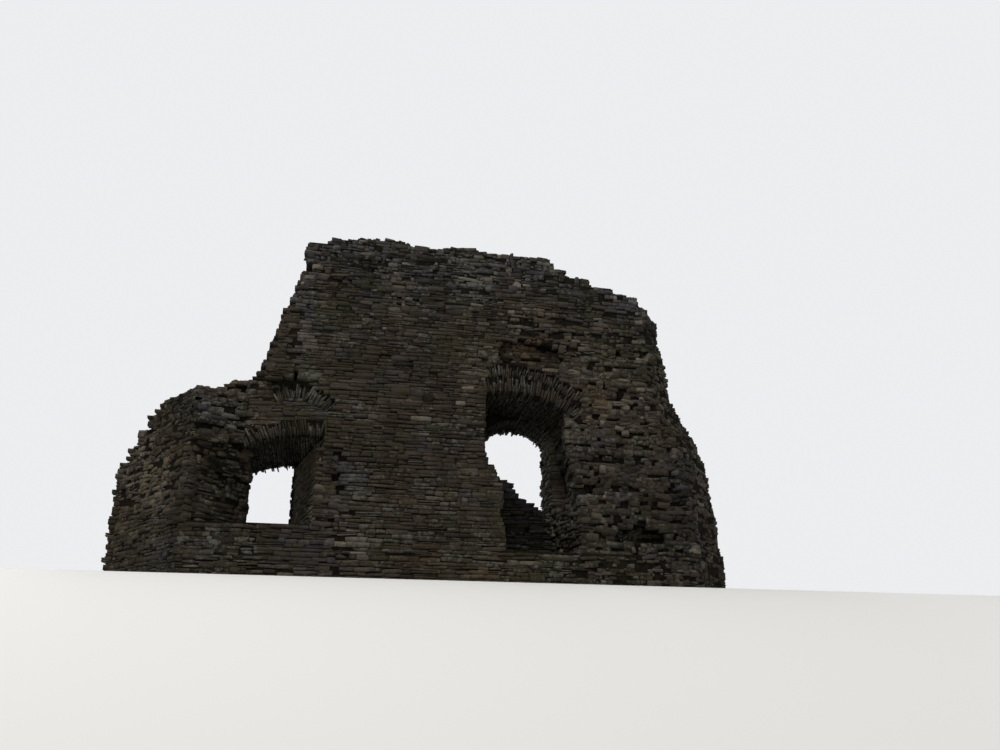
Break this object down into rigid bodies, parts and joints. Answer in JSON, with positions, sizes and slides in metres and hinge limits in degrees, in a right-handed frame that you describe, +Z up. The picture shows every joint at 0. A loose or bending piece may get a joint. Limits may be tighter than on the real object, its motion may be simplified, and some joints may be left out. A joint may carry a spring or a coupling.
{
  "type": "ruined castle keep wall",
  "caption": "Ruined fragment of a castle keep: one thick slab-masonry wall with an arched doorway, an arched window, canted corners and a broken top.",
  "frame": {"origin": "middle of the foot of the wall, level with the lowest ground that it meets", "axes": "+X runs along the outer face towards the taller, canted east end; +Y runs into the wall from the outer face; +Z is up"},
  "size_m": [16.08, 3.1, 9.05],
  "materials": {
    "foundation_masonry": "coursed slab masonry, earth-stained",
    "facing_masonry": "thin coursed slab masonry with open joints, lichen and moss",
    "core_rubble": "rough mortared rubble with open hollows",
    "arch_slabs": "thin slabs set on edge in mortar",
    "jamb_masonry": "rough coursed slabs, broken at the arris",
    "wall_head_rubble": "loose weathered slabs with lichen"
  },
  "bodies": {
    "root": {"west_base": "foundation_masonry", "middle_base": "foundation_masonry", "window_base": "foundation_masonry", "east_base": "foundation_masonry", "west_pier_facing": "facing_masonry", "west_pier_rear_facing": "facing_masonry", "door_head_facing": "facing_masonry", "door_head_rear_facing": "facing_masonry", "upper_west_facing": "facing_masonry", "upper_west_rear_facing": "facing_masonry", "middle_facing": "facing_masonry", "middle_rear_facing": "facing_masonry", "window_head_facing": "facing_masonry", "window_head_rear_facing": "facing_masonry", "east_cant_facing": "facing_masonry", "east_rear_facing": "facing_masonry", "west_pier_core": "core_rubble", "door_head_core": "core_rubble", "upper_west_core": "core_rubble", "middle_core": "core_rubble", "window_head_core": "core_rubble", "east_core": "core_rubble", "door_arch_slabs": "arch_slabs", "door_vault": "arch_slabs", "door_relieving_arch": "arch_slabs", "window_inner_ring": "arch_slabs", "window_outer_ring": "arch_slabs", "window_front_vault": "arch_slabs", "window_rear_arch": "arch_slabs", "door_west_jamb": "jamb_masonry", "door_east_jamb": "jamb_masonry", "door_threshold": "jamb_masonry", "window_west_jamb_foot": "jamb_masonry", "window_rear_jamb": "jamb_masonry", "window_breast_wall": "jamb_masonry", "wall_head_west": "wall_head_rubble", "wall_head_middle": "wall_head_rubble", "wall_head_east": "wall_head_rubble"}
  },
  "joints": []
}
